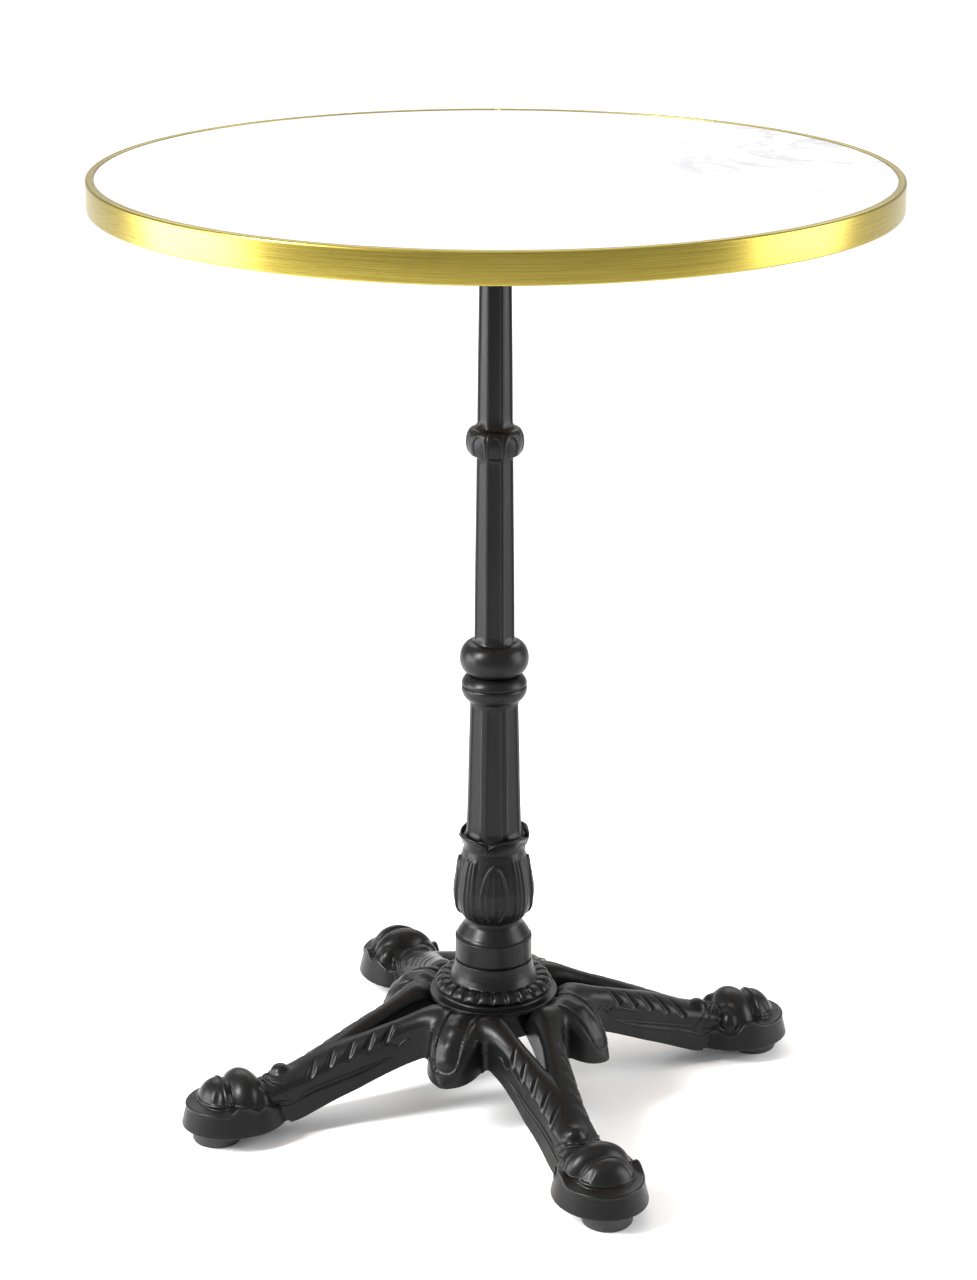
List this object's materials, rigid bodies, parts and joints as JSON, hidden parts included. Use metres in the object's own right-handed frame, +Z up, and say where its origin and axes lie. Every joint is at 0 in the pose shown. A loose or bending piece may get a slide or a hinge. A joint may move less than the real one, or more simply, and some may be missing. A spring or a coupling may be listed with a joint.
{
  "type": "bistro table",
  "caption": "Round bistro table with a brass-banded marble top on a fluted cast column and a four-legged cast base with levelling glides.",
  "frame": {"origin": "on the floor under the middle of the table, midway between the four feet", "axes": "+Z up, +X and +Y each along a leg"},
  "size_m": [0.5999, 0.6, 0.747],
  "materials": {
    "marble": "honed white marble with faint grey veins",
    "plywood": "plain sanded plywood",
    "brass": "brushed along the band, lacquered",
    "casting": "satin black powder coat over a cast skin",
    "zinc_steel": "zinc plated",
    "pad_plastic": "moulded, matt"
  },
  "bodies": {
    "table": {"marble_slab": "marble", "plywood_board": "plywood", "brass_band": "brass", "top_spider": "casting", "spider_screws": "zinc_steel", "column_upper": "casting", "column_lower": "casting", "tie_rod": "zinc_steel", "top_washer": "zinc_steel", "top_nut": "zinc_steel", "bottom_washer": "zinc_steel", "bottom_nut": "zinc_steel", "base_casting": "casting"},
    "pad_right_body": {"pad_right": "pad_plastic"},
    "stud_right_body": {"stud_right": "zinc_steel"},
    "pad_rear_body": {"pad_rear": "pad_plastic"},
    "stud_rear_body": {"stud_rear": "zinc_steel"},
    "pad_left_body": {"pad_left": "pad_plastic"},
    "stud_left_body": {"stud_left": "zinc_steel"},
    "pad_front_body": {"pad_front": "pad_plastic"},
    "stud_front_body": {"stud_front": "zinc_steel"}
  },
  "joints": [
    {"name": "glide_right_extend", "type": "slide", "parent": "table", "child": "pad_right_body", "axis": [0, 0, -1], "range_m": [0, 0.008]},
    {"name": "glide_right_screw", "type": "hinge", "parent": "pad_right_body", "child": "stud_right_body", "pos_m": [0.232, 0, 0.02], "axis": [0, 0, -1], "range_deg": [0, 1920]},
    {"name": "glide_rear_extend", "type": "slide", "parent": "table", "child": "pad_rear_body", "axis": [0, 0, -1], "range_m": [0, 0.008]},
    {"name": "glide_rear_screw", "type": "hinge", "parent": "pad_rear_body", "child": "stud_rear_body", "pos_m": [0, 0.232, 0.02], "axis": [0, 0, -1], "range_deg": [0, 1920]},
    {"name": "glide_left_extend", "type": "slide", "parent": "table", "child": "pad_left_body", "axis": [0, 0, -1], "range_m": [0, 0.008]},
    {"name": "glide_left_screw", "type": "hinge", "parent": "pad_left_body", "child": "stud_left_body", "pos_m": [-0.232, 0, 0.02], "axis": [0, 0, -1], "range_deg": [0, 1920]},
    {"name": "glide_front_extend", "type": "slide", "parent": "table", "child": "pad_front_body", "axis": [0, 0, -1], "range_m": [0, 0.008]},
    {"name": "glide_front_screw", "type": "hinge", "parent": "pad_front_body", "child": "stud_front_body", "pos_m": [0, -0.232, 0.02], "axis": [0, 0, -1], "range_deg": [0, 1920]}
  ],
  "couplings": [
    {"joint": "glide_right_screw", "follows": "glide_right_extend", "rad_per_m": 4188.8},
    {"joint": "glide_rear_screw", "follows": "glide_rear_extend", "rad_per_m": 4188.8},
    {"joint": "glide_left_screw", "follows": "glide_left_extend", "rad_per_m": 4188.8},
    {"joint": "glide_front_screw", "follows": "glide_front_extend", "rad_per_m": 4188.8}
  ]
}
